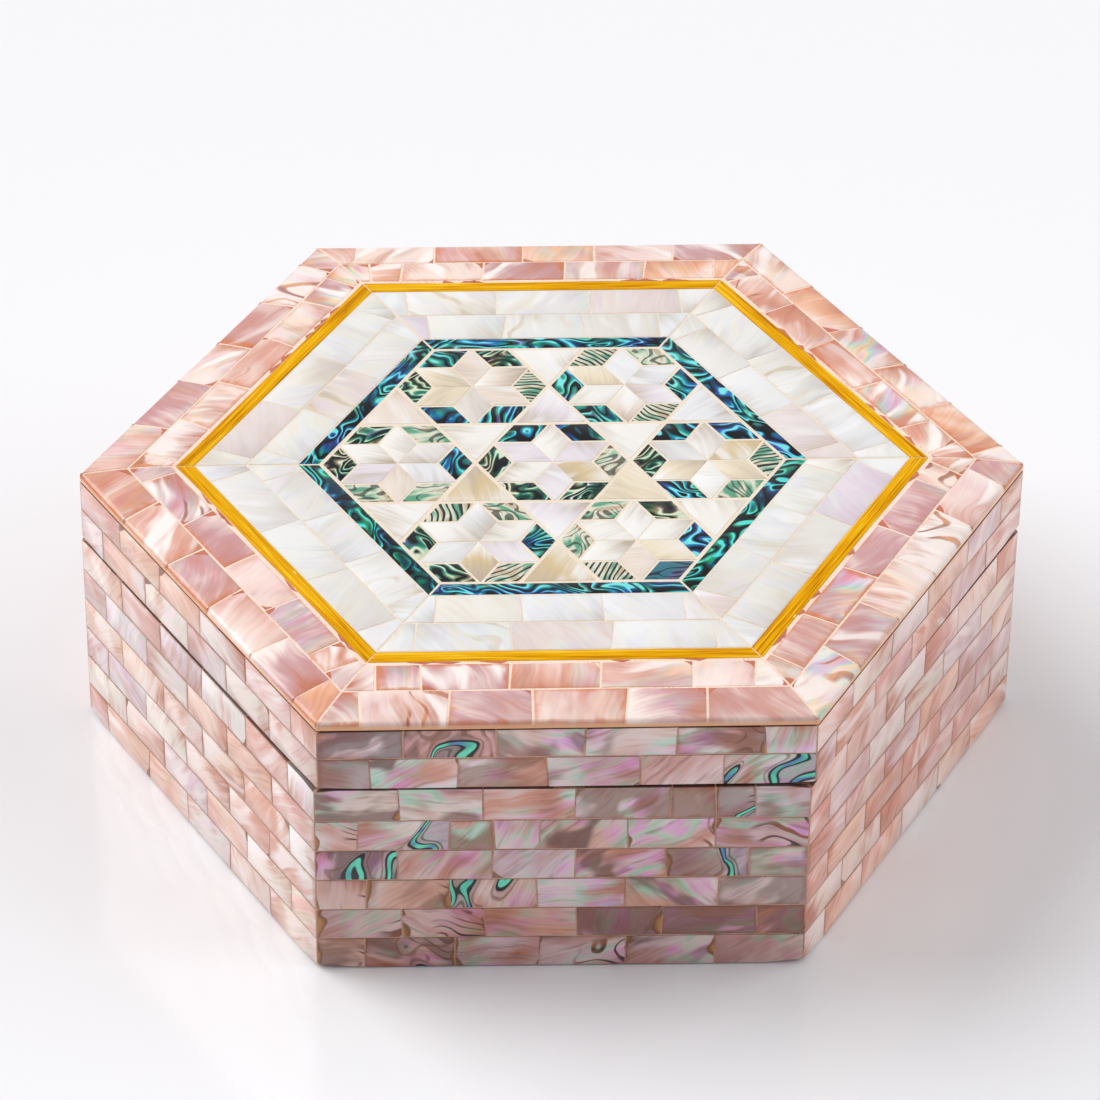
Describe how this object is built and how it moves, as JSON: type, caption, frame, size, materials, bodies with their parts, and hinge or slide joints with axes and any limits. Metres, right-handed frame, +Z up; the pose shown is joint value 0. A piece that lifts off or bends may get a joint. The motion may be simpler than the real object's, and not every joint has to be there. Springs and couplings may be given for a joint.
{
  "type": "hexagonal lidded box",
  "caption": "Six-sided keepsake box with a lift-off lid, veneered in mother-of-pearl bricks, with a star mosaic framed in abalone on its top.",
  "frame": {"origin": "middle of the underside", "axes": "+Z up; two corners of the hexagon lie on the X axis, and the front side faces -Y"},
  "size_m": [0.2198, 0.1912, 0.0722],
  "materials": {
    "carcass_wood": "dark, lacquered",
    "rosy_shell": "polished mother-of-pearl",
    "pink_shell": "polished mother-of-pearl",
    "white_shell": "polished mother-of-pearl",
    "abalone_shell": "polished abalone",
    "star_shell": "polished nacre and abalone",
    "gold_strip": "polished, finely streaked"
  },
  "bodies": {
    "root": {"abalone_strip_back": "abalone_shell", "abalone_strip_back_left": "abalone_shell", "abalone_strip_back_right": "abalone_shell", "abalone_strip_front": "abalone_shell", "abalone_strip_front_left": "abalone_shell", "abalone_strip_front_right": "abalone_shell", "base_carcass": "carcass_wood", "base_tiles_back": "rosy_shell", "base_tiles_back_left": "rosy_shell", "base_tiles_back_right": "rosy_shell", "base_tiles_front": "rosy_shell", "base_tiles_front_left": "rosy_shell", "base_tiles_front_right": "rosy_shell", "border_tiles_back": "pink_shell", "border_tiles_back_left": "pink_shell", "border_tiles_back_right": "pink_shell", "border_tiles_front": "pink_shell", "border_tiles_front_left": "pink_shell", "border_tiles_front_right": "pink_shell", "gold_strip_back": "gold_strip", "gold_strip_back_left": "gold_strip", "gold_strip_back_right": "gold_strip", "gold_strip_front": "gold_strip", "gold_strip_front_left": "gold_strip", "gold_strip_front_right": "gold_strip", "lid_carcass": "carcass_wood", "lid_tiles_back": "rosy_shell", "lid_tiles_back_left": "rosy_shell", "lid_tiles_back_right": "rosy_shell", "lid_tiles_front": "rosy_shell", "lid_tiles_front_left": "rosy_shell", "lid_tiles_front_right": "rosy_shell", "star_back_left": "star_shell", "star_back_right": "star_shell", "star_centre": "star_shell", "star_front_left": "star_shell", "star_front_right": "star_shell", "star_left": "star_shell", "star_right": "star_shell", "triangle_inner_1": "white_shell", "triangle_inner_2": "white_shell", "triangle_inner_3": "white_shell", "triangle_inner_4": "white_shell", "triangle_inner_5": "white_shell", "triangle_inner_6": "white_shell", "triangle_outer_1": "white_shell", "triangle_outer_2": "white_shell", "triangle_outer_3": "white_shell", "triangle_outer_4": "white_shell", "triangle_outer_5": "white_shell", "triangle_outer_6": "white_shell", "white_tiles_back": "white_shell", "white_tiles_back_left": "white_shell", "white_tiles_back_right": "white_shell", "white_tiles_front": "white_shell", "white_tiles_front_left": "white_shell", "white_tiles_front_right": "white_shell"}
  },
  "joints": []
}
